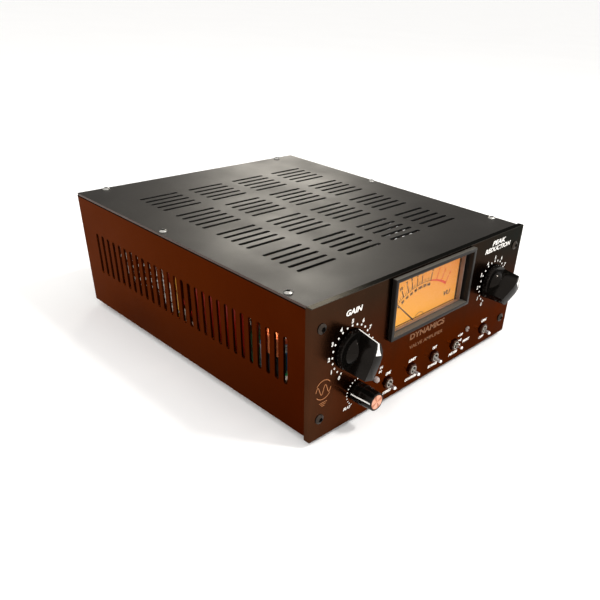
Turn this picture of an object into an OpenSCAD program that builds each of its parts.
// Half-width 2U optical valve compressor: sheet-metal case, front panel with a wide meter,
// two bar knobs, one small knob and five toggles, with its board, valves and transformers inside.
// Frame: millimetres, +Z up, the front faces -Y, origin on the floor under the middle of the
// whole envelope, from the knobs' front to the rear connectors.

/* [Case] */
// Width of the sheet-metal case
case_w = 212; // [212:1:270]
// Depth of the case behind the front panel
case_d = 250; // [246:1:320]
// Height of the case with its top cover
case_h = 86; // [86:1:110]
// Thickness of the case sheet
sheet_t = 1.5; // [1:0.1:2]
// Thickness of the top cover
cover_t = 1.5; // [1:0.1:2.5]
// Width of the flanges folded in from the side walls
flange_w = 14; // [11:1:16]
// Gap around sheet parts that slide into each other
sheet_gap = 0.3; // [0.1:0.1:0.6]

/* [Front panel] */
// Thickness of the front panel
panel_t = 4; // [3:0.5:5]
// How far the panel stands past the case on the left and right
panel_lip = 2; // [0:0.5:6]
// How far the panel hangs below the case
panel_drop = 1.4; // [0:0.1:3]
// How far the panel rises above the case
panel_rise = 0.6; // [0:0.1:3]
// Corner radius of the panel
panel_corner_r = 1; // [0.5:0.5:3]
// Distance of the panel screws from the left and right edges
panel_screw_x = 8.5; // [7:0.5:12]
// Distance of the panel screws from the lower and upper edges
panel_screw_z = 14; // [8:1:20]

/* [Vents] */
// Length of a slot in the cover
top_slot_l = 31.8; // [20:0.1:38]
// Width of a slot in the cover
top_slot_w = 3; // [2:0.1:5]
// Distance between slots in a group
top_slot_pitch = 7.7; // [6:0.1:8]
// Slots in a group
top_slots = 5; // [3:1:5]
// Groups across the cover
top_cols = 4; // [2:1:4]
// Groups along the cover
top_rows = 4; // [2:1:4]
// Distance between groups across
top_col_pitch = 42; // [40:1:48]
// Distance between groups along
top_row_pitch = 46.6; // [44:0.1:52]
// Height of a slot in the side walls
side_slot_h = 31.5; // [20:0.5:40]
// Width of a slot in the side walls
side_slot_w = 3.5; // [2:0.1:5]
// Distance between slots in the side walls
side_slot_pitch = 7.8; // [6.5:0.1:8]
// Slots in each side wall
side_slots = 28; // [10:1:28]
// Height of the side slots' middle above the panel's lower edge
side_slot_z = 46.3; // [40:0.1:50]
// How far forward of the case's middle the vents are centred
vent_forward = 1.5; // [0:0.5:5]

/* [Meter] */
// Outer width of the meter bezel
meter_w = 84; // [70:1:96]
// Outer height of the meter bezel
meter_h = 41.5; // [34:0.5:41.5]
// Height of the meter's middle above the panel's lower edge
meter_z = 66; // [65:0.5:66]
// Width of the bezel's bars
bezel_bar = 2.5; // [2:0.1:4]
// How far the bezel stands proud of the panel
bezel_proud = 3.3; // [1:0.1:6]
// Wall of the bezel's sleeve through the panel
bezel_sleeve = 1.2; // [0.8:0.1:1.6]
// Wall of the meter housing
meter_wall = 1.5; // [1:0.1:2]
// Depth of the meter housing
meter_depth = 28; // [24:1:34]
// Length of the meter needle from its pivot
needle_l = 38; // [32:1:42]
// Needle's lean to the left of upright at rest, in degrees
needle_rest = 48; // [40:1:52]
// Drop of the needle's pivot below the middle of the meter
pivot_drop = 27.7; // [24:0.1:29]

/* [Large knobs] */
// Distance of the large knobs from the middle
knob_x = 75; // [70:1:80]
// Height of the large knobs above the panel's lower edge
knob_z = 52; // [48:1:56]
// Radius of a large knob
knob_r = 13; // [12:0.5:15.5]
// Length of a large knob
knob_len = 19; // [16:0.5:24]
// Thickness of the bar grip
knob_bar_t = 7.6; // [6:0.1:9]
// Angle of the gain pointer from +X, in degrees
gain_angle = 72; // [0:1:90]
// Angle of the reduction pointer from +X, in degrees
reduction_angle = 37; // [0:1:90]
// Radius of the shafts of the large knobs
shaft_r = 3; // [2.5:0.1:3.2]
// Radius of the control bodies behind the large knobs
pot_r = 8.5; // [8:0.5:12]

/* [Small knob] */
// Distance of the small knob from the middle
small_knob_x = 67.5; // [64:0.5:72]
// Height of the small knob above the panel's lower edge
small_knob_z = 19.5; // [18:0.5:21]
// Radius of the small knob
small_knob_r = 6.6; // [6.4:0.1:8]
// Length of the small knob
small_knob_len = 15.5; // [12:0.5:18]
// Radius of the copper cap
cap_r = 4.8; // [4:0.1:5]
// Angle of the small knob's pointer from +X, in degrees
small_knob_angle = 170; // [90:1:200]
// Radius of the small knob's shaft
small_shaft_r = 2; // [1.5:0.1:2.2]
// Radius of the small control's body
small_pot_r = 6; // [5:0.5:7]

/* [Toggles] */
// Distance between the four toggles in the row
toggle_pitch = 25; // [20:1:27]
// Distance of the fifth toggle from the middle
toggle_end_x = 75; // [70:1:80]
// Height of the toggles above the panel's lower edge
toggle_z = 12.7; // [12:0.1:14]
// Length of a lever from its pivot to the middle of its tip
lever_l = 7; // [6:0.5:10]
// Swing of a lever from its middle position, in degrees
lever_swing = 12.5; // [8:0.5:14]
// Radius of a toggle's bush
toggle_bush_r = 3; // [2.8:0.1:3.2]
// Width across the flats of the toggle nuts
toggle_nut_af = 7.6; // [7.4:0.1:9]

/* [Lamp and preset] */
// Lamp's distance to the left of the middle
led_x = 50; // [48:0.5:53]
// Lamp's height above the panel's lower edge
led_z = 20.4; // [20:0.1:24]
// Radius of the lamp
led_r = 2; // [1.5:0.1:2.5]
// Preset's distance to the right of the middle
preset_x = 52; // [50:0.5:56]
// Preset's height above the panel's lower edge
preset_z = 20.5; // [20:0.5:24]
// Radius of the preset's slotted rotor
preset_r = 2; // [1.5:0.1:2.5]
// Angle of the preset's slot from +X, in degrees
preset_angle = -33; // [-90:1:90]

/* [Feet] */
// Height of the feet under the case
foot_h = 5; // [4.5:0.5:8]
// Radius of a foot
foot_r = 8; // [7:0.5:12]
// Distance of the feet from the sides, front and rear of the case
foot_in = 24; // [20:1:40]

/* [Rear connectors] */
// Height of the connectors above the panel's lower edge
rear_z = 46; // [42:1:48]
// Distance of the input connector from the middle
input_x = 78; // [74:1:84]
// Distance of the output connector from the middle
output_x = 44; // [42:1:48]
// Distance between the two jacks
jack_pitch = 20; // [16:1:22]
// Distance of the jacks' middle from the case's middle
jack_x = 6; // [2:1:10]
// Radius of a jack's bore
jack_bore_r = 3.25; // [3.2:0.05:3.4]
// Distance of the mains inlet from the middle
mains_x = 68; // [64:1:72]
// How far the connectors' flanges stand out of the rear panel
flange_t = 2; // [1.5:0.5:3]

/* [Board and valves] */
// Width of the main board
board_w = 180; // [176:1:190]
// Depth of the main board
board_d = 118; // [116:1:122]
// Gap between the front panel and the board
board_y = 24; // [22:1:27]
// Thickness of the board
board_t = 1.6; // [1:0.1:2]
// Height of the board's pillars
pillar_h = 8; // [6:0.5:9]
// Radius of a valve
valve_r = 10.5; // [10:0.5:11]
// Height of a valve above its socket
valve_h = 46; // [36:1:48]
// Radius of the optical cell's can
cell_r = 13; // [10:0.5:14]
// Height of the optical cell's can
cell_h = 34; // [24:1:40]

/* [Transformers] */
// Outer radius of the ring transformer
ring_r = 38; // [32:1:40]
// Inner radius of the ring transformer
ring_hole_r = 13; // [10:1:16]
// Height of the ring transformer
ring_h = 34; // [26:1:40]
// Width of the output transformer's core
core_w = 42; // [36:1:46]
// Height of the output transformer's core
core_h = 36; // [30:1:42]
// Stack of the output transformer's core
core_t = 18; // [14:1:22]

/* [Screws and fits] */
// Radius of the screw shanks
screw_r = 1.5; // [1.2:0.1:1.6]
// Radius of the screw heads
head_r = 2.75; // [2.5:0.05:3]
// Height of the screw heads
head_h = 1.7; // [1.4:0.1:2]
// Radius of the front panel's screw heads
panel_head_r = 3.2; // [2.8:0.1:3.6]
// Gap between a screw and its hole
screw_gap = 0.15; // [0.1:0.05:0.3]
// Running clearance of a shaft in its bush
shaft_gap = 0.05; // [0.02:0.01:0.08]
// Gap around pieces that pass through a panel
hole_gap = 0.25; // [0.2:0.05:0.4]

/* [Hidden] */
$fn = 48;

// Small overlap of one cutter past a face
cut = 1;
// Gap between the front panel and the back of a knob
knob_gap = 0.8;
// Length of the jack nuts, the furthest pieces at the rear
jack_nut_l = 4;

panel_w = case_w + 2 * panel_lip;
panel_h = case_h + panel_drop + panel_rise;
front_reach = panel_t + knob_gap + knob_len;
rear_reach = jack_nut_l;
// Front face of the case, which is the panel's back
yf = front_reach - (case_d + front_reach + rear_reach) / 2;
y_face = yf - panel_t;
yr = yf + case_d;
z_panel = foot_h - panel_drop;
wall_h = case_h - cover_t;
wall_top = foot_h + wall_h;
inner_w = case_w - 2 * sheet_t;
open_w = case_w - 2 * flange_w;
vent_y = (yf + yr) / 2 - vent_forward;

// Corner radius of the cover
cover_corner_r = 1;
// Screws: distance of the cover screws from the case's edges, and their places along the sides
cover_screw_in = 4;
cover_screw_front = 20;
cover_screw_step = 121.5;
cover_screw_rear_in = 21;
shank_hole_r = screw_r + screw_gap;
// Lengths of the screws under their heads, the last ones past what they hold
cover_screw_l = 5;
foot_screw_l = 7;
connector_screw_l = 7;
connector_head_h = 1.4;
panel_screw_grip = 4;
board_screw_grip = 3.5;
// Rubber left under a foot's screw head
foot_floor = 2;
foot_taper = 1;
foot_well_gap = 0.5;
cover_screw_spots = concat(
  [for (s = [-1, 1], k = [0, 1])
    [s * (case_w / 2 - cover_screw_in), yf + cover_screw_front + k * cover_screw_step]],
  [for (s = [-1, 1]) [s * (case_w / 2 - cover_screw_rear_in), yr - cover_screw_in]]
);
panel_screw_spots = [for (s = [-1, 1], z = [panel_screw_z, panel_h - panel_screw_z])
  [s * (panel_w / 2 - panel_screw_x), z_panel + z]];
rear_screw_in = 9;
rear_screw_z = 14;
rear_screw_spots = [for (s = [-1, 1], z = [foot_h + rear_screw_z, wall_top - rear_screw_z])
  [s * (case_w / 2 - rear_screw_in), z]];
foot_spots = [for (sx = [-1, 1], y = [yf + foot_in, yr - foot_in]) [sx * (case_w / 2 - foot_in), y]];

// Meter
meter_cz = z_panel + meter_z;
window_w = meter_w - 2 * bezel_bar;
window_h = meter_h - 2 * bezel_bar;
sleeve_w = window_w + 2 * bezel_sleeve;
sleeve_h = window_h + 2 * bezel_sleeve;
pivot_z = meter_cz - pivot_drop;
housing_w = window_w + 2 * meter_wall;
housing_top = meter_cz + window_h / 2 + bezel_sleeve;
housing_bottom = pivot_z - 6;
lens_t = 1.2;
needle_y = yf + 2.2;
needle_t = 0.4;
scale_y = yf + 3.2;
scale_t = 0.8;
movement_y = scale_y + scale_t + 0.6;
movement_w = 26;
movement_h = 20;
movement_d = 16;
pin_r = 0.8;
needle_tail = 4;
needle_root = 8;
needle_hub_r = 2;
pin_in_movement = 4;
lamp_x = 27;
lamp_r = 2.5;
lamp_base_r = 3;
lamp_base_t = 2;
lamp_l = 6;

// Controls: nuts, bushes and shafts
bush_r = 3.8;
small_bush_r = 3;
nut_t = 2;
washer_t = 0.6;
nut_af = 10;
small_nut_af = 7.4;
bush_proud = 3.4;
pot_depth = 10;
shaft_in = 5;
hollow_r = 7;
small_hollow_r = 5.1;
hollow_depth = 3.2;
shaft_in_knob = 8;
// Space past a shaft's end
shaft_end_gap = 0.5;
cap_t = 1;
cap_in = 0.8;
cap_taper = 0.1;
washer_over = 1;
// Height of the flat on a D shaft over its axis, as a share of its radius
flat_share = 0.6;
lug_pitch = 4;

toggle_xs = concat([for (k = [-1.5, -0.5, 0.5, 1.5]) k * toggle_pitch], [toggle_end_x]);
// Rest position of each lever: -1 down, 0 middle
toggle_rests = [-1, -1, -1, 0, -1];
toggle_pivot = 0.7;
toggle_nut_t = 1.4;
toggle_bush_proud = 2;
toggle_body_w = 8;
toggle_body_h = 13;
toggle_body_d = 10;

// Lamp and preset: how far they stand out, and how deep the rotor goes behind the panel
lamp_proud = 0.8;
preset_in = 3;

// Board
board_z = foot_h + sheet_t + pillar_h;
board_top = board_z + board_t;
board_cy = yf + board_y + board_d / 2;
pillar_in = 6;
pillar_af = 5.5;
pillar_floor = 2;
pillar_spots = [for (sx = [-1, 0, 1], sy = [-1, 1])
  [sx * (board_w / 2 - pillar_in), board_cy + sy * (board_d / 2 - pillar_in)]];
socket_h = 9;
valve_spots = [[-36, -32], [8, -28], [48, -4], [76, 26]];
cell_spot = [-46, 22];
pin_ring_r = 5.95;

// Capacitors: places on the board from its middle, and sizes
electrolytic_r = 6;
electrolytic_h = 20;
electrolytic_spots = [[-82, -36], [-82, -22], [20, 22], [34, 30], [-18, 6], [-18, 20]];
film_size = [8, 18, 15];
film_spots = [[-64, -44], [-64, -18], [-74, 24], [-66, 42], [-8, 42], [28, -44]];

// Transformers
ring_x = -20;
ring_gap = 3;
ring_y = board_cy + board_d / 2 + ring_gap + ring_r;
pad_t = 2;
clamp_t = 1.5;
core_x = 62;
core_y = yr - 56;

// Rear connectors
flange_w_xlr = 26;
flange_h_xlr = 31;
xlr_screw_x = 9.5;
xlr_screw_z = 12;
shell_r = 11.6;
cup_r = 9.4;
cup_depth = 14;
xlr_depth = 20;
pin_ring = 4.6;
latch_w = 7;
latch_h = 2.6;
latch_travel = 1.5;
latch_gap = 0.4;
latch_in = 4.6;
latch_proud = 1.2;
latch_z = cup_r - 1.2;
insert_r = cup_r - 2.2;
contact_r = 1.35;
contact_depth = 11;
drawer_gap = 0.3;
inlet_w = 50;
inlet_h = 38;
inlet_in_w = 30;
inlet_in_h = 34;
inlet_depth = 24;
drawer_w = 26;
drawer_h = 8;
drawer_d = 14;
mains_cavity_w = 24;
mains_cavity_h = 16;
mains_cavity_d = 15;
mains_rise = 5;
drawer_drop = 10.5;
jack_bush_r = 4.6;
jack_nut_af = 12;
jack_body_d = 22;
inlet_screw_x = 20;

panel_brown = "#45210f";
case_brown = "#43200f";
cover_grey = "#5c5850";
steel = "#c9c9c6";
black = "#141313";

// --- Placing and plain shapes ---

// Local +Z points out of the front panel, and local X and Y lie along +X and +Z
module on_front(x, z) {
  translate([x, y_face, z_panel + z]) rotate([90, 0, 0]) children();
}

// Local +Z points out of the rear panel, and local X runs to the right as seen from behind
module on_rear(x, z) {
  translate([x, yr, z_panel + z]) rotate([90, 0, 180]) children();
}

module on_board(spot) {
  translate([spot[0], board_cy + spot[1], board_top]) children();
}

module rounded_rect(w, h, r) {
  square([w - 2 * r, h], center = true);
  square([w, h - 2 * r], center = true);
  for (sx = [-1, 1], sy = [-1, 1]) translate([sx * (w / 2 - r), sy * (h / 2 - r)]) circle(r);
}

module slot_shape(l, w) {
  square([l - w, w], center = true);
  for (s = [-1, 1]) translate([s * (l - w) / 2, 0]) circle(w / 2);
}

module tube_z(r_out, r_in, h) {
  difference() {
    cylinder(r = r_out, h = h);
    translate([0, 0, -cut]) cylinder(r = r_in, h = h + 2 * cut);
  }
}

module hex_prism(af, h) {
  cylinder(r = af / sqrt(3), h = h, $fn = 6);
}

// Button-head screw with a hex socket: the head's underside lies at z = 0
module screw(r_head, h_head, r_shank, l_shank) {
  rim = 0.4;
  rise = h_head - rim;
  ball_r = (r_head * r_head + rise * rise) / (2 * rise);
  difference() {
    union() {
      intersection() {
        cylinder(r = r_head, h = h_head);
        translate([0, 0, h_head - ball_r]) sphere(ball_r, $fn = 64);
      }
      translate([0, 0, -l_shank]) cylinder(r = r_shank, h = l_shank + rim);
    }
    translate([0, 0, h_head * 0.35]) hex_prism(r_head * 0.9, h_head);
  }
}

// --- Case ---

module side_vent_cutters() {
  for (i = [0 : side_slots - 1]) {
    y = vent_y + (i - (side_slots - 1) / 2) * side_slot_pitch;
    translate([0, y, z_panel + side_slot_z]) rotate([90, 0, 90])
      linear_extrude(case_w + 2 * cut, center = true) rotate(90)
        slot_shape(side_slot_h, side_slot_w);
  }
}

module top_vent_cutters() {
  for (col = [0 : top_cols - 1], row = [0 : top_rows - 1], i = [0 : top_slots - 1]) {
    x = (col - (top_cols - 1) / 2) * top_col_pitch;
    group_y = vent_y + (row - (top_rows - 1) / 2) * top_row_pitch;
    y = group_y + (i - (top_slots - 1) / 2) * top_slot_pitch;
    translate([x, y, wall_top - cut]) linear_extrude(cover_t + 2 * cut)
      slot_shape(top_slot_l, top_slot_w);
  }
}

module cover_screw_holes(depth) {
  for (spot = cover_screw_spots)
    translate([spot[0], spot[1], wall_top - depth])
      cylinder(r = shank_hole_r, h = depth + cover_t + cut);
}

module rear_screw_holes() {
  for (spot = rear_screw_spots)
    translate([spot[0], yr + cut, spot[1]]) rotate([90, 0, 0])
      cylinder(r = shank_hole_r, h = 2 * sheet_t + 2 * cut);
}

// Floor and side walls folded from one sheet, with flanges at the top, front and rear
module chassis() {
  color(case_brown) difference() {
    union() {
      difference() {
        translate([-case_w / 2, yf, foot_h]) cube([case_w, case_d, wall_h]);
        translate([-inner_w / 2, yf + sheet_t, foot_h + sheet_t])
          cube([inner_w, case_d, wall_h - 2 * sheet_t]);
        translate([-open_w / 2, yf - cut, foot_h + sheet_t])
          cube([open_w, case_d + 2 * cut, wall_h]);
      }
      for (s = [0, 1]) mirror([s, 0, 0])
        translate([open_w / 2, yr - 2 * sheet_t, foot_h + sheet_t / 2])
          cube([flange_w - sheet_t / 2, sheet_t, wall_h - sheet_t]);
    }
    side_vent_cutters();
    cover_screw_holes(sheet_t + cut);
    rear_screw_holes();
    for (spot = panel_screw_spots)
      translate([spot[0], yf + sheet_t + cut, spot[1]]) rotate([90, 0, 0])
        cylinder(r = shank_hole_r, h = sheet_t + 2 * cut);
    for (spot = foot_spots)
      translate([spot[0], spot[1], foot_h - cut]) cylinder(r = shank_hole_r, h = sheet_t + 2 * cut);
    translate([ring_x, ring_y, foot_h - cut]) cylinder(r = shank_hole_r, h = sheet_t + 2 * cut);
  }
}

module top_cover() {
  color(cover_grey) difference() {
    translate([0, (yf + yr) / 2, wall_top]) linear_extrude(cover_t)
      rounded_rect(case_w, case_d, cover_corner_r);
    top_vent_cutters();
    cover_screw_holes(cut);
  }
}

module cover_screws() {
  color(steel) for (spot = cover_screw_spots)
    translate([spot[0], spot[1], foot_h + case_h]) screw(head_r, head_h, screw_r, cover_screw_l);
}

module panel_screws() {
  color("#6f6a63") for (spot = panel_screw_spots)
    on_front(spot[0], spot[1] - z_panel) screw(panel_head_r, head_h, screw_r, panel_t + panel_screw_grip);
}

module rear_panel_screws() {
  color(steel) for (spot = rear_screw_spots)
    on_rear(spot[0], spot[1] - z_panel) screw(head_r, head_h, screw_r, cover_screw_l);
}

module feet() {
  color(black) for (spot = foot_spots) translate([spot[0], spot[1], 0]) difference() {
    cylinder(r1 = foot_r - foot_taper, r2 = foot_r, h = foot_h);
    translate([0, 0, -cut]) cylinder(r = head_r + foot_well_gap, h = foot_h - foot_floor + cut);
    translate([0, 0, -cut]) cylinder(r = shank_hole_r, h = foot_h + 2 * cut);
  }
}

module foot_screws() {
  color(steel) for (spot = foot_spots)
    translate([spot[0], spot[1], foot_h - foot_floor]) rotate([180, 0, 0])
      screw(head_r, head_h, screw_r, foot_screw_l);
}

// --- Front panel ---

module front_panel() {
  color(panel_brown) difference() {
    translate([0, yf, z_panel + panel_h / 2]) rotate([90, 0, 0])
      linear_extrude(panel_t) rounded_rect(panel_w, panel_h, panel_corner_r);
    translate([0, y_face + panel_t / 2, meter_cz])
      cube([sleeve_w + 2 * hole_gap, panel_t + 2 * cut, sleeve_h + 2 * hole_gap], center = true);
    for (spot = panel_screw_spots)
      on_front(spot[0], spot[1] - z_panel) through_panel(shank_hole_r);
    for (s = [-1, 1]) on_front(s * knob_x, knob_z) through_panel(bush_r + hole_gap);
    on_front(-small_knob_x, small_knob_z) through_panel(small_bush_r + hole_gap);
    for (x = toggle_xs) on_front(x, toggle_z) through_panel(toggle_bush_r + hole_gap);
    on_front(-led_x, led_z) through_panel(led_r + hole_gap);
    on_front(preset_x, preset_z) through_panel(preset_r + hole_gap);
  }
}

module through_panel(r) {
  translate([0, 0, -panel_t - cut]) cylinder(r = r, h = panel_t + 2 * cut);
}

// --- Meter ---

module frame_box(w_out, h_out, w_in, h_in, depth) {
  linear_extrude(depth) difference() {
    square([w_out, h_out], center = true);
    square([w_in, h_in], center = true);
  }
}

// Proud frame with a sleeve that lines the panel's cut-out
module meter_bezel() {
  color("#3a3632") on_front(0, meter_z) {
    frame_box(meter_w, meter_h, window_w, window_h, bezel_proud);
    translate([0, 0, -panel_t]) frame_box(sleeve_w, sleeve_h, window_w, window_h, panel_t);
  }
}

module meter_housing() {
  housing_h = housing_top - housing_bottom;
  color(black) difference() {
    translate([-housing_w / 2, yf, housing_bottom]) cube([housing_w, meter_depth, housing_h]);
    translate([-window_w / 2, yf - cut, housing_bottom + meter_wall])
      cube([window_w, meter_depth - meter_wall + cut, housing_h - 2 * meter_wall]);
  }
}

// Pieces inside the housing, which leave a gap all round its walls
module in_housing(y, depth, bottom) {
  top = housing_top - meter_wall - sheet_gap;
  low = max(bottom, housing_bottom + meter_wall + sheet_gap);
  translate([-(window_w / 2 - sheet_gap), y, low]) cube([window_w - 2 * sheet_gap, depth, top - low]);
}

module meter_lens() {
  color("#dfe8ea", 0.4) in_housing(yf, lens_t, 0);
}

module meter_scale() {
  color("#f0a040") in_housing(scale_y, scale_t, meter_cz - window_h / 2 - 3);
}

// Pointer, hub and pin: turned to the left by needle_rest at rest
module meter_needle() {
  color("#3a2010") translate([0, needle_y, pivot_z]) rotate([0, -needle_rest, 0]) {
    rotate([90, 0, 0]) translate([0, 0, -needle_t]) linear_extrude(needle_t)
      polygon([[-0.6, -needle_tail], [0.6, -needle_tail], [0.5, needle_root], [0.3, needle_l],
        [-0.3, needle_l], [-0.5, needle_root]]);
    rotate([-90, 0, 0]) cylinder(r = needle_hub_r, h = needle_t);
    rotate([-90, 0, 0]) cylinder(r = pin_r, h = movement_y - needle_y + pin_in_movement);
  }
}

// Magnet block that the needle's pin turns in
module meter_movement() {
  low = housing_bottom + meter_wall + sheet_gap;
  color("#8a8a88") difference() {
    translate([-movement_w / 2, movement_y, low]) cube([movement_w, movement_d, movement_h]);
    translate([0, movement_y - cut, pivot_z]) rotate([-90, 0, 0])
      cylinder(r = pin_r + shaft_gap, h = pin_in_movement + 1 + cut);
  }
}

module meter_lamps() {
  color("#ffd9a0") for (s = [-1, 1])
    translate([s * lamp_x, yf + meter_depth - meter_wall, meter_cz]) rotate([90, 0, 0]) {
      cylinder(r = lamp_base_r, h = lamp_base_t);
      cylinder(r = lamp_r, h = lamp_l);
      translate([0, 0, lamp_l]) sphere(lamp_r);
    }
}

// --- Knobs and their controls ---

// Skirt, domed hub and a bar grip whose pointed end lies along local +X
module bar_knob() {
  skirt_h = 3.4;
  skirt_taper = 0.7;
  hub_r = 9.4;
  hub_z = -0.6;
  tip_front = knob_r - 2.6;
  tip_drop = 2.4;
  tail_drop = 1.6;
  point_w = 0.7;
  slope = knob_bar_t / 2;
  difference() {
    union() {
      cylinder(r1 = knob_r, r2 = knob_r - skirt_taper, h = skirt_h);
      intersection() {
        translate([0, 0, hub_z]) sphere(hub_r, $fn = 96);
        cylinder(r = hub_r + cut, h = knob_len);
      }
      intersection() {
        rotate([90, 0, 0]) linear_extrude(2 * knob_r, center = true)
          polygon([[-knob_r, 0], [-knob_r + 0.8, knob_len - tail_drop], [-1, knob_len], [3.4, knob_len],
            [tip_front, knob_len - tip_drop], [knob_r - 0.1, 0.5], [knob_r - 1, 0]]);
        linear_extrude(knob_len + cut) union() {
          intersection() {
            square([2 * knob_r, knob_bar_t], center = true);
            translate([-knob_r / 2, 0]) circle(r = knob_r / 2 + 6);
            circle(r = knob_r - 0.3);
          }
          polygon([[0, -slope], [tip_front - slope, -slope], [knob_r, -point_w], [knob_r, point_w],
            [tip_front - slope, slope], [0, slope]]);
        }
      }
    }
    translate([0, 0, -cut]) cylinder(r = hollow_r, h = hollow_depth + cut);
    translate([0, 0, -cut]) cylinder(r = shaft_r + shaft_gap, h = shaft_in_knob + shaft_end_gap + cut);
  }
}

module place_knob(x, z, angle) {
  on_front(x, z) translate([0, 0, knob_gap]) rotate(angle) children();
}

// Shaft that starts inside the control and ends inside the knob
module shaft(x, z, r, angle) {
  on_front(x, z) rotate(angle) translate([0, 0, -panel_t - shaft_in]) difference() {
    cylinder(r = r, h = panel_t + shaft_in + knob_gap + shaft_in_knob);
    translate([-r, r * flat_share, panel_t + shaft_in + knob_gap + hollow_depth])
      cube([2 * r, r, shaft_in_knob]);
  }
}

// Rotary control behind the panel, with its bush through the panel and its three lugs
module rotary_control(x, z, r_body, r_bush, r_shaft) {
  lug = [1.6, 5, 0.6];
  lug_in = 1.5;
  on_front(x, z) difference() {
    union() {
      translate([0, 0, -panel_t - pot_depth]) cylinder(r = r_body, h = pot_depth);
      translate([0, 0, -panel_t - cut]) cylinder(r = r_bush, h = panel_t + bush_proud + cut);
      for (k = [-1 : 1])
        translate([k * lug_pitch - lug[0] / 2, -r_body - lug[1] + lug_in, -panel_t - pot_depth]) cube(lug);
    }
    translate([0, 0, -panel_t - shaft_in - shaft_end_gap])
      cylinder(r = r_shaft + shaft_gap, h = shaft_in + panel_t + bush_proud + shaft_end_gap + cut);
  }
}

module gain_knob() {
  color(black) place_knob(-knob_x, knob_z, gain_angle) bar_knob();
}

module reduction_knob() {
  color(black) place_knob(knob_x, knob_z, reduction_angle) bar_knob();
}

module gain_shaft() {
  color(steel) shaft(-knob_x, knob_z, shaft_r, gain_angle);
}

module reduction_shaft() {
  color(steel) shaft(knob_x, knob_z, shaft_r, reduction_angle);
}

module gain_pot() {
  color("#3c5a72") rotary_control(-knob_x, knob_z, pot_r, bush_r, shaft_r);
}

module reduction_pot() {
  color("#3c5a72") rotary_control(knob_x, knob_z, pot_r, bush_r, shaft_r);
}

// Tapered barrel with a ring of square notches near the panel and a seat for the cap
module small_knob() {
  front_r = small_knob_r - 0.7;
  ring_l = 6;
  step = 0.2;
  notches = 12;
  notch = [2, 1.8, 3.2];
  notch_z = 1.6;
  notch_depth = 0.6;
  color(black) place_knob(-small_knob_x, small_knob_z, small_knob_angle) difference() {
    union() {
      cylinder(r = small_knob_r, h = ring_l);
      translate([0, 0, ring_l])
        cylinder(r1 = small_knob_r - step, r2 = front_r, h = small_knob_len - ring_l);
    }
    for (i = [0 : notches - 1]) rotate((i + 0.5) * 360 / notches)
      translate([small_knob_r - notch_depth, -notch[1] / 2, notch_z]) cube(notch);
    translate([0, 0, small_knob_len - cap_in]) cylinder(r = cap_r + shaft_gap, h = cap_t + cut);
    translate([0, 0, -cut]) cylinder(r = small_hollow_r, h = hollow_depth + cut);
    translate([0, 0, -cut]) cylinder(r = small_shaft_r + shaft_gap, h = shaft_in_knob + shaft_end_gap + cut);
  }
}

module small_knob_cap() {
  color("#d08a66") place_knob(-small_knob_x, small_knob_z, 0)
    translate([0, 0, small_knob_len - cap_in]) cylinder(r1 = cap_r, r2 = cap_r - cap_taper, h = cap_t);
}

module small_shaft() {
  color(steel) shaft(-small_knob_x, small_knob_z, small_shaft_r, small_knob_angle);
}

module small_pot() {
  color("#3c5a72") rotary_control(-small_knob_x, small_knob_z, small_pot_r, small_bush_r, small_shaft_r);
}

// Washer and hex nut on a bush, in front of the panel
module nut_and_washer(r_bush, af) {
  tube_z(af / 2 + washer_over, r_bush + screw_gap, washer_t);
  translate([0, 0, washer_t]) difference() {
    hex_prism(af, nut_t);
    translate([0, 0, -cut]) cylinder(r = r_bush + screw_gap, h = nut_t + 2 * cut);
  }
}

module control_nuts() {
  color(steel) {
    for (s = [-1, 1]) on_front(s * knob_x, knob_z) nut_and_washer(bush_r, nut_af);
    on_front(-small_knob_x, small_knob_z) nut_and_washer(small_bush_r, small_nut_af);
  }
}

// --- Toggles ---

// Lever with a ball at its pivot and a rounded tip
module toggle_lever(i) {
  ball_r = 1.7;
  root_r = 0.75;
  tip_r = 1.25;
  color(steel) translate([toggle_xs[i], y_face + toggle_pivot, z_panel + toggle_z])
    rotate([90 - toggle_rests[i] * lever_swing, 0, 0]) {
      sphere(ball_r);
      cylinder(r1 = root_r, r2 = tip_r, h = lever_l);
      translate([0, 0, lever_l]) sphere(tip_r);
    }
}

// Switch body behind the panel with a hollow bush and three lugs
module toggle_body(i) {
  lug = [2, 1, 4];
  bore_r = 2.15;
  color("#7c2a22") on_front(toggle_xs[i], toggle_z) difference() {
    union() {
      translate([-toggle_body_w / 2, -toggle_body_h / 2, -panel_t - toggle_body_d])
        cube([toggle_body_w, toggle_body_h, toggle_body_d]);
      translate([0, 0, -panel_t - cut])
        cylinder(r = toggle_bush_r, h = panel_t + toggle_bush_proud + cut);
      for (k = [-1 : 1])
        translate([-lug[0] / 2, k * lug_pitch - lug[1] / 2, -panel_t - toggle_body_d - lug[2]])
          cube([lug[0], lug[1], lug[2] + cut]);
    }
    translate([0, 0, -panel_t]) cylinder(r = bore_r, h = panel_t + toggle_bush_proud + cut);
  }
}

module toggle_nuts() {
  color(steel) for (x = toggle_xs) on_front(x, toggle_z) difference() {
    hex_prism(toggle_nut_af, toggle_nut_t);
    translate([0, 0, -cut]) cylinder(r = toggle_bush_r + screw_gap, h = toggle_nut_t + 2 * cut);
  }
}

// --- Lamp and preset ---

module power_led() {
  base_l = 3;
  base_over = 0.6;
  color("#f4f1ea") on_front(-led_x, led_z) {
    translate([0, 0, -panel_t - base_l]) cylinder(r = led_r, h = panel_t + base_l + lamp_proud);
    translate([0, 0, lamp_proud]) sphere(led_r);
    translate([0, 0, -panel_t - base_l]) cylinder(r = led_r + base_over, h = base_l);
  }
}

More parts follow.
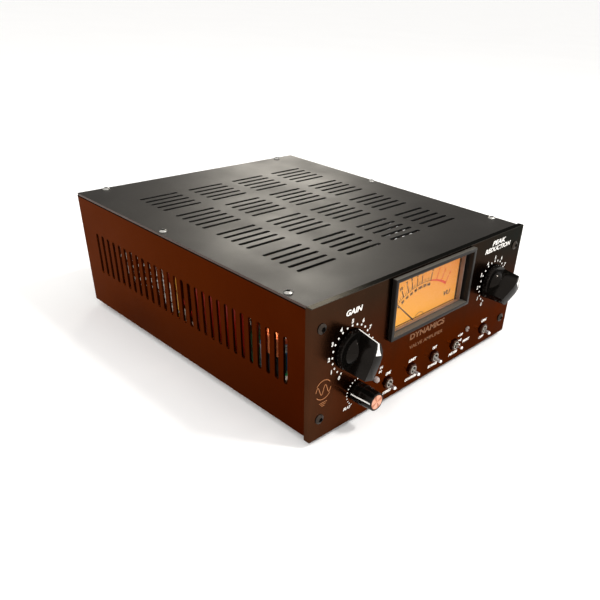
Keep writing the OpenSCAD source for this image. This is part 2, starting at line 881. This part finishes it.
module preset_rotor() {
  slot_w = 0.7;
  color("#d9b8a4") on_front(preset_x, preset_z) difference() {
    translate([0, 0, -panel_t - preset_in])
      cylinder(r = preset_r, h = panel_t + preset_in + lamp_proud);
    rotate(preset_angle) translate([-preset_r - cut, -slot_w / 2, 0])
      cube([2 * preset_r + 2 * cut, slot_w, lamp_proud + cut]);
  }
}

module preset_body() {
  body = [9, 8, 7];
  color("#2a4f9a") on_front(preset_x, preset_z) difference() {
    translate([-body[0] / 2, -body[1] / 2, -panel_t - body[2]]) cube(body);
    translate([0, 0, -panel_t - preset_in - shaft_end_gap])
      cylinder(r = preset_r + shaft_gap, h = preset_in + shaft_end_gap + cut);
  }
}

// --- Board, valves and parts on it ---

module main_board() {
  color("#1f5a34") difference() {
    translate([-board_w / 2, board_cy - board_d / 2, board_z]) cube([board_w, board_d, board_t]);
    for (spot = pillar_spots)
      translate([spot[0], spot[1], board_z - cut]) cylinder(r = shank_hole_r, h = board_t + 2 * cut);
  }
}

module board_pillars() {
  color(steel) for (spot = pillar_spots) translate([spot[0], spot[1], foot_h + sheet_t]) difference() {
    hex_prism(pillar_af, pillar_h);
    translate([0, 0, pillar_floor]) cylinder(r = shank_hole_r, h = pillar_h);
  }
}

module board_screws() {
  color(steel) for (spot = pillar_spots)
    translate([spot[0], spot[1], board_top]) screw(head_r, head_h, screw_r, board_t + board_screw_grip);
}

module valve_sockets() {
  socket_over = 0.5;
  key_r = 2;
  key_depth = 5;
  color("#e6e0d2") for (spot = valve_spots) on_board(spot) difference() {
    cylinder(r = valve_r + socket_over, h = socket_h);
    translate([0, 0, socket_h - key_depth]) cylinder(r = key_r, h = key_depth + cut);
  }
}

// Glass envelope with its drawn tip, standing on the socket
module valves() {
  dome = valve_r * 0.45;
  tip = [2, 0.8, 3];
  color("#cfd8d6", 0.6) for (spot = valve_spots) on_board(spot) translate([0, 0, socket_h]) {
    cylinder(r = valve_r, h = valve_h - dome);
    intersection() {
      translate([0, 0, valve_h - dome]) cylinder(r = valve_r, h = dome);
      translate([0, 0, valve_h - dome - valve_r * 0.9]) sphere(valve_r * 1.345);
    }
    translate([0, 0, valve_h - tip[0]]) cylinder(r1 = tip[0], r2 = tip[1], h = tip[0] + tip[2]);
  }
}

module optical_cell() {
  base_over = 1.2;
  base_h = 5;
  color("#b9b9b4") on_board(cell_spot) {
    cylinder(r = cell_r + base_over, h = base_h);
    cylinder(r = cell_r, h = cell_h);
  }
}

module electrolytics() {
  color("#23538c") for (spot = electrolytic_spots) on_board(spot) {
    cylinder(r = electrolytic_r, h = electrolytic_h);
  }
}

module film_capacitors() {
  color("#a3301f") for (spot = film_spots) on_board(spot)
    translate([-film_size[0] / 2, -film_size[1] / 2, 0]) cube(film_size);
}

// --- Transformers ---

// Wound ring on a pad, standing on the case floor
module ring_transformer() {
  mid_r = (ring_r + ring_hole_r) / 2;
  corner = 6;
  pad_outer_in = 4;
  pad_inner_in = 2;
  color("#b8694a") translate([ring_x, ring_y, foot_h + sheet_t]) {
    translate([0, 0, pad_t + ring_h / 2]) rotate_extrude() translate([mid_r, 0])
      rounded_rect(ring_r - ring_hole_r, ring_h, corner);
    tube_z(ring_r - pad_outer_in, ring_hole_r + pad_inner_in, pad_t);
  }
}

// Dished washer and bolt that hold the ring down
module ring_clamp() {
  washer_over = 12;
  bolt_head = [head_r + 1, head_h + 0.6];
  bolt_l = clamp_t + ring_h + pad_t + sheet_t;
  color(steel) translate([ring_x, ring_y, foot_h + sheet_t + pad_t + ring_h]) {
    difference() {
      cylinder(r = ring_hole_r + washer_over, h = clamp_t);
      translate([0, 0, -cut]) cylinder(r = shank_hole_r, h = clamp_t + 2 * cut);
    }
    translate([0, 0, clamp_t]) screw(bolt_head[0], bolt_head[1], screw_r, bolt_l);
  }
}

module output_core() {
  color("#8d8f90") translate([core_x, core_y, foot_h + sheet_t]) difference() {
    translate([-core_w / 2, -core_t / 2, 0]) cube([core_w, core_t, core_h]);
    for (s = [-1, 1]) translate([s * core_w / 4, 0, core_h / 2])
      cube([core_w / 6, core_t + 2 * cut, core_h - 2 * core_w / 6], center = true);
  }
}

// Bobbin and winding round the core's middle leg
module output_coil() {
  leg = core_w / 3;
  coil_h = core_h - core_w / 3 - 2 * sheet_gap;
  wire = core_w / 6 - 2 * sheet_gap;
  color("#c58a3c") translate([core_x, core_y, foot_h + sheet_t + core_h / 2 - coil_h / 2])
    linear_extrude(coil_h) difference() {
      square([leg + 2 * sheet_gap + 2 * wire, core_t + 2 * wire + 2 * sheet_gap], center = true);
      square([leg + 2 * sheet_gap, core_t + 2 * sheet_gap], center = true);
    }
}

// --- Rear panel and connectors ---

module rear_panel() {
  plate_w = inner_w - 2 * sheet_gap;
  low = foot_h + sheet_t + sheet_gap;
  plate_h = wall_top - sheet_t - sheet_gap - low;
  neck_w = open_w - 2 * sheet_gap;
  fold = 12;
  color(case_brown) difference() {
    union() {
      translate([-plate_w / 2, yr - sheet_t, low]) cube([plate_w, sheet_t, plate_h]);
      translate([-neck_w / 2, yr - sheet_t, low]) cube([neck_w, sheet_t, wall_top - low]);
      translate([-neck_w / 2, yr - fold, wall_top - sheet_t]) cube([neck_w, fold, sheet_t]);
    }
    cover_screw_holes(sheet_t + cut);
    rear_screw_holes();
    for (x = [input_x, output_x]) on_rear(-x, rear_z) {
      through_rear(shell_r + hole_gap);
      for (s = [-1, 1]) translate([s * xlr_screw_x, s * xlr_screw_z, 0]) through_rear(shank_hole_r);
    }
    for (s = [-1, 1]) on_rear(jack_x + s * jack_pitch / 2, rear_z)
      through_rear(jack_bush_r + hole_gap);
    on_rear(mains_x, rear_z) {
      translate([0, 0, -sheet_t / 2])
        cube([inlet_in_w + 2 * hole_gap, inlet_in_h + 2 * hole_gap, sheet_t + 2 * cut], center = true);
      for (s = [-1, 1]) translate([s * inlet_screw_x, 0, 0]) through_rear(shank_hole_r);
    }
  }
}

module through_rear(r) {
  translate([0, 0, -sheet_t - cut]) cylinder(r = r, h = sheet_t + 2 * cut);
}

// Square flange with two screw holes, shared by both three-pin connectors
module xlr_flange() {
  linear_extrude(flange_t) difference() {
    rounded_rect(flange_w_xlr, flange_h_xlr, 2);
    for (s = [-1, 1]) translate([s * xlr_screw_x, s * xlr_screw_z]) circle(shank_hole_r);
  }
}

// Three places on the pin circle, one of them at the bottom
module at_pins() {
  for (k = [0 : 2]) rotate(90 + k * 120 + 60) translate([pin_ring, 0, 0]) children();
}

// Socket connector: round insert with three contacts, in a shell with a slot for the latch
module input_connector() {
  color("#8f8f8c") on_rear(-input_x, rear_z) difference() {
    union() {
      xlr_flange();
      translate([0, 0, -xlr_depth]) cylinder(r = shell_r, h = xlr_depth + flange_t);
    }
    translate([0, 0, -cup_depth]) tube_z(cup_r, insert_r, cup_depth + flange_t + cut);
    translate([0, 0, -contact_depth]) at_pins() cylinder(r = contact_r, h = contact_depth + flange_t + cut);
    translate([-latch_w / 2 - latch_gap, latch_z - latch_gap - latch_travel, -latch_in - latch_gap])
      cube([latch_w + 2 * latch_gap, latch_h + latch_travel + 2 * latch_gap,
        latch_in + latch_gap + flange_t + cut]);
  }
}

// Release tab that is pressed down towards the insert
module input_latch() {
  color(steel) on_rear(-input_x, rear_z)
    translate([-latch_w / 2, latch_z, -latch_in])
      cube([latch_w, latch_h, latch_in + flange_t + latch_proud]);
}

// Pin connector: a round cup with three pins short of its mouth
module output_connector() {
  pin_l = 9;
  pin_rod_r = 1.2;
  color("#8f8f8c") on_rear(-output_x, rear_z) {
    difference() {
      union() {
        xlr_flange();
        translate([0, 0, -xlr_depth]) cylinder(r = shell_r, h = xlr_depth + flange_t);
      }
      translate([0, 0, flange_t - cup_depth]) cylinder(r = cup_r, h = cup_depth + cut);
    }
    translate([0, 0, flange_t - cup_depth - cut]) at_pins() cylinder(r = pin_rod_r, h = pin_l + cut);
  }
}

// Two jack sockets with their bushes and nuts
module jacks() {
  body = [14, 16];
  end_t = 2;
  bush_past = 1;
  color("#2a2a2a") for (s = [-1, 1]) on_rear(jack_x + s * jack_pitch / 2, rear_z) difference() {
    union() {
      translate([-body[0] / 2, -body[1] / 2, -sheet_t - jack_body_d])
        cube([body[0], body[1], jack_body_d]);
      translate([0, 0, -sheet_t - cut]) cylinder(r = jack_bush_r, h = sheet_t + jack_nut_l + cut);
      hex_prism(jack_nut_af, jack_nut_l - bush_past);
    }
    translate([0, 0, -sheet_t - jack_body_d + end_t])
      cylinder(r = jack_bore_r, h = jack_body_d + sheet_t + jack_nut_l);
  }
}

// Three-blade mains inlet above a well for the fuse drawer
module mains_inlet() {
  blade = [2, 4, 9];
  blade_spots = [[-7, 0], [0, 3.5], [7, 0]];
  color(black) on_rear(mains_x, rear_z) {
    difference() {
      union() {
        linear_extrude(flange_t) rounded_rect(inlet_w, inlet_h, 3);
        translate([-inlet_in_w / 2, -inlet_in_h / 2, -inlet_depth])
          cube([inlet_in_w, inlet_in_h, inlet_depth + cut]);
      }
      translate([-mains_cavity_w / 2, mains_rise - mains_cavity_h / 2, flange_t - mains_cavity_d])
        cube([mains_cavity_w, mains_cavity_h, mains_cavity_d + cut]);
      translate([-drawer_w / 2 - drawer_gap, -drawer_drop - drawer_h / 2 - drawer_gap,
        flange_t - drawer_d - 2 * drawer_gap])
        cube([drawer_w + 2 * drawer_gap, drawer_h + 2 * drawer_gap, drawer_d + 2 * drawer_gap + cut]);
      for (s = [-1, 1]) translate([s * inlet_screw_x, 0, -cut])
        cylinder(r = shank_hole_r, h = flange_t + 2 * cut);
    }
    for (p = blade_spots)
      translate([p[0] - blade[0] / 2, mains_rise + p[1] - blade[1] / 2, flange_t - mains_cavity_d - cut])
        cube([blade[0], blade[1], blade[2] + cut]);
  }
}

// Drawer that carries the fuse and pulls straight out
module fuse_drawer() {
  grip = [6, 2, 1.2];
  wall = 2;
  trough_floor = 1.4;
  trough_l = 6;
  color("#1d1d1d") on_rear(mains_x, rear_z) translate([0, -drawer_drop, flange_t - drawer_d])
    difference() {
      union() {
        translate([-drawer_w / 2, -drawer_h / 2, 0]) cube([drawer_w, drawer_h, drawer_d]);
        translate([-grip[0] / 2, -grip[1] / 2, drawer_d - cut]) cube([grip[0], grip[1], grip[2] + cut]);
      }
      translate([-drawer_w / 2 + wall, -drawer_h / 2 + trough_floor, wall])
        cube([drawer_w - 2 * wall, drawer_h, trough_l]);
    }
}

module connector_screws() {
  color(steel) {
    for (x = [input_x, output_x], s = [-1, 1]) on_rear(-x, rear_z)
      translate([s * xlr_screw_x, s * xlr_screw_z, flange_t])
        screw(head_r, connector_head_h, screw_r, connector_screw_l);
    for (s = [-1, 1]) on_rear(mains_x, rear_z)
      translate([s * inlet_screw_x, 0, flange_t]) screw(head_r, connector_head_h, screw_r, connector_screw_l);
  }
}

chassis();
front_panel();
rear_panel();
top_cover();
cover_screws();
panel_screws();
rear_panel_screws();
feet();
foot_screws();
meter_bezel();
meter_housing();
meter_lens();
meter_scale();
meter_needle();
meter_movement();
meter_lamps();
gain_knob();
gain_shaft();
gain_pot();
reduction_knob();
reduction_shaft();
reduction_pot();
small_knob();
small_knob_cap();
small_shaft();
small_pot();
control_nuts();
for (i = [0 : len(toggle_xs) - 1]) {
  toggle_lever(i);
  toggle_body(i);
}
toggle_nuts();
power_led();
preset_rotor();
preset_body();
main_board();
board_pillars();
board_screws();
valve_sockets();
valves();
optical_cell();
ring_transformer();
ring_clamp();
output_core();
output_coil();
electrolytics();
film_capacitors();
input_connector();
input_latch();
output_connector();
jacks();
mains_inlet();
fuse_drawer();
connector_screws();
